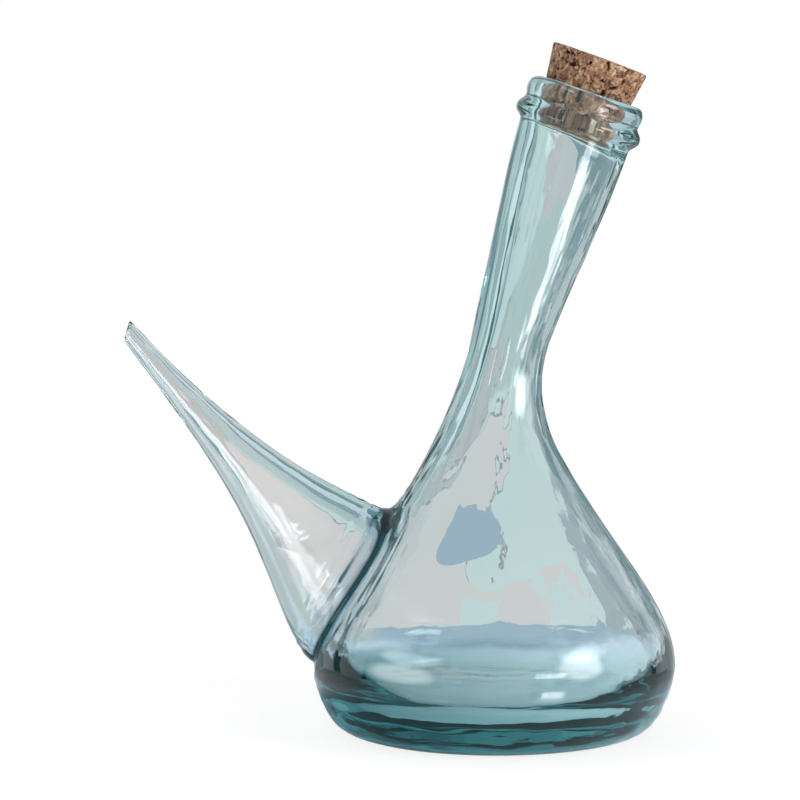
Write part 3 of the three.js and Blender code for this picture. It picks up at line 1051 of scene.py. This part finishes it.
def roughen(nodes, links, place, scale, reach):
    """Shifts a place by noise, so that what is drawn with it has uneven edges."""
    grain = nodes.new("ShaderNodeTexNoise")
    grain.inputs["Scale"].default_value = scale
    grain.inputs["Detail"].default_value = 3
    links.new(place, grain.inputs["Vector"])
    sway = nodes.new("ShaderNodeVectorMath")
    sway.operation = "MULTIPLY_ADD"
    sway.inputs[1].default_value = (2 * reach,) * 3
    sway.inputs[2].default_value = (-reach,) * 3
    links.new(grain.outputs["Color"], sway.inputs[0])
    moved = nodes.new("ShaderNodeVectorMath")
    moved.operation = "ADD"
    links.new(place, moved.inputs[0])
    links.new(sway.outputs[0], moved.inputs[1])
    split = nodes.new("ShaderNodeSeparateXYZ")
    links.new(moved.outputs[0], split.inputs[0])
    return split.outputs


def in_box(nodes, links, across, up, sides, ends, soft):
    """1 where both values lie within their limits, fading to 0 within a soft edge."""
    return math_node(nodes, links, "MULTIPLY",
                     between(nodes, links, across, *sides, soft),
                     between(nodes, links, up, *ends, soft))


def paint_over(nodes, links, colour, layers):
    """Paints (share, colour) layers over a colour, one after the other."""
    for share, layer in layers:
        colour = mix_colour(nodes, links, share, colour, layer)
    return colour


def add_card(name, where, size):
    """An upright card behind the cruet, which only the glass shows."""
    deselect_all()
    bpy.ops.mesh.primitive_plane_add(size=1, location=where, rotation=(math.radians(90), 0, 0))
    card = bpy.context.object
    card.name = name
    card.dimensions = (*size, 0)
    bpy.ops.object.transform_apply(location=True, rotation=True, scale=True)
    card.visible_camera = False
    return card


def backdrop_paint():
    """Pale cool and warm greys in uneven boxes. They show blurred and turned through the glass."""
    material, nodes, links, glow = glowing_material("backdrop_card")
    coordinates = nodes.new("ShaderNodeTexCoord")
    x, _, z = roughen(nodes, links, coordinates.outputs["Object"], scale=34, reach=0.006)
    across = math_node(nodes, links, "MULTIPLY", x, 1 / MM)
    height = math_node(nodes, links, "MULTIPLY", z, 1 / MM)

    def patch(sides, ends, soft=1.5):
        """A box on the card, given in millimetres."""
        return in_box(nodes, links, across, height, sides, ends, soft)

    warm = (0.73, 0.66, 0.65, 1)
    cool = (0.64, 0.725, 0.715, 1)
    line = (0.30, 0.31, 0.33, 1)
    dark = (0.15, 0.25, 0.27, 1)
    layers = [
        (patch((-70, 60), (78, 145), 12), (0.48, 0.57, 0.56, 1)),
        (patch((60, 420), (-80, 150), 8), (0.38, 0.41, 0.45, 1)),
        (patch((90, 420), (60, 300), 12), (0.18, 0.26, 0.29, 1)),
        (patch((128, 420), (-80, 40), 12), (0.56, 0.62, 0.66, 1)),
        (patch((-42, 34), (148, 215), 4), (0.58, 0.55, 0.56, 1)),
        (patch((-172, -73), (-80, 125)), line),
        (patch((-170, -75), (-80, 123)), (0.55, 0.51, 0.51, 1)),
        (patch((-112, -9), (-80, 63)), line),
        (patch((-110, -11), (-80, 61)), warm),
        (patch((-14, 34), (-80, -12)), warm),
        (patch((-14, 8), (-80, -24)), cool),
        (patch((-420, -230), (-80, 300), 14), (0.40, 0.47, 0.50, 1)),
        (patch((45, 200), (152, 260), 8), (0.20, 0.29, 0.33, 1)),
        (patch((108, 140), (-80, 300), 8), dark),
        (patch((-260, -215), (-80, 300), 8), dark),
    ]
    links.new(paint_over(nodes, links, cool, layers), glow.inputs["Color"])
    return material


def add_backdrop():
    """A painted card behind the table."""
    card = add_card("backdrop_card", BACKDROP_AT, BACKDROP_SIZE)
    card.data.materials.append(backdrop_paint())


def add_blue_card():
    """A small card close behind the bulb, which shows through it as a blue patch."""
    card = add_card("blue_card", BLUE_CARD_AT, BLUE_CARD_SIZE)
    only(card)
    bpy.ops.object.mode_set(mode="EDIT")
    bpy.ops.mesh.select_all(action="SELECT")
    bpy.ops.mesh.bevel(offset=BLUE_CARD_CORNERS, segments=4, affect="VERTICES")
    bpy.ops.object.mode_set(mode="OBJECT")
    card.data.materials.append(glowing_material("blue_card", (0.36, 0.44, 0.54, 1))[0])


def add_world():
    """White to the camera. What the glass shows is a soft room round a dim table."""
    world = bpy.data.worlds.new("studio")
    bpy.context.scene.world = world
    world.use_nodes = True
    nodes = world.node_tree.nodes
    links = world.node_tree.links
    coordinates = nodes.new("ShaderNodeTexCoord")
    outwards = coordinates.outputs["Generated"]
    x, y, height = roughen(nodes, links, outwards, scale=20, reach=0.01)
    turn = math_node(nodes, links, "DEGREES", math_node(nodes, links, "ARCTAN2", x, y))
    rise = math_node(nodes, links, "DEGREES", math_node(nodes, links, "ARCSINE", height))
    aside = math_node(nodes, links, "ABSOLUTE", turn)
    from_side = math_node(nodes, links, "SUBTRACT", aside, 90.0)
    from_side = math_node(nodes, links, "ABSOLUTE", from_side)

    def patch(turns, rises, soft, across=aside):
        """A part of the room, in degrees. Its turn is counted from straight behind the cruet."""
        return in_box(nodes, links, across, rise, turns, rises, soft)

    layers = [
        (patch((22, 68), (-20, 22), 3, from_side), (0.84, 0.90, 0.93, 1)),
        (patch((27, 33), (-6, 40), 3, from_side), (0.05, 0.13, 0.14, 1)),
        (patch((-1, 181), (-100, -8), 0.5), (0.36, 0.46, 0.56, 1)),
        (patch((8, 181), (-30, -12), 4), (0.56, 0.56, 0.56, 1)),
        (patch((-1, 181), (-100, -28), 5), (0.68, 0.74, 0.79, 1)),
        (patch((139, 151), (-27, -12), 4, turn), (10.0, 10.3, 10.6, 1)),
    ]
    room = mix_colour(nodes, links, smooth(nodes, links, rise, 10, 65),
                      (0.76, 0.81, 0.84, 1), (0.55, 0.62, 0.72, 1))
    room = paint_over(nodes, links, room, layers)
    seen = nodes.new("ShaderNodeLightPath").outputs["Is Camera Ray"]
    links.new(mix_colour(nodes, links, seen, room, WHITE), nodes["Background"].inputs["Color"])


add_camera()
add_world()
add_backdrop()
add_blue_card()
add_floor()
add_softbox("left_softbox", bearing=-58, distance=0.25, height=0.05, size=(0.25, 0.1), brightness=6)
add_softbox("right_softbox", bearing=56, distance=1.3, height=0.36, size=(0.95, 0.75), brightness=9)

vessel = make_vessel()
vessel.data.materials.append(recycled_glass())
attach(vessel, "vessel")
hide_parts(*GLASS_NODES)

cork = make_cork()
cork.data.materials.append(pressed_cork())
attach(cork, "cork")
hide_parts("cork_stopper")

bpy.context.scene.view_settings.view_transform = "Standard"
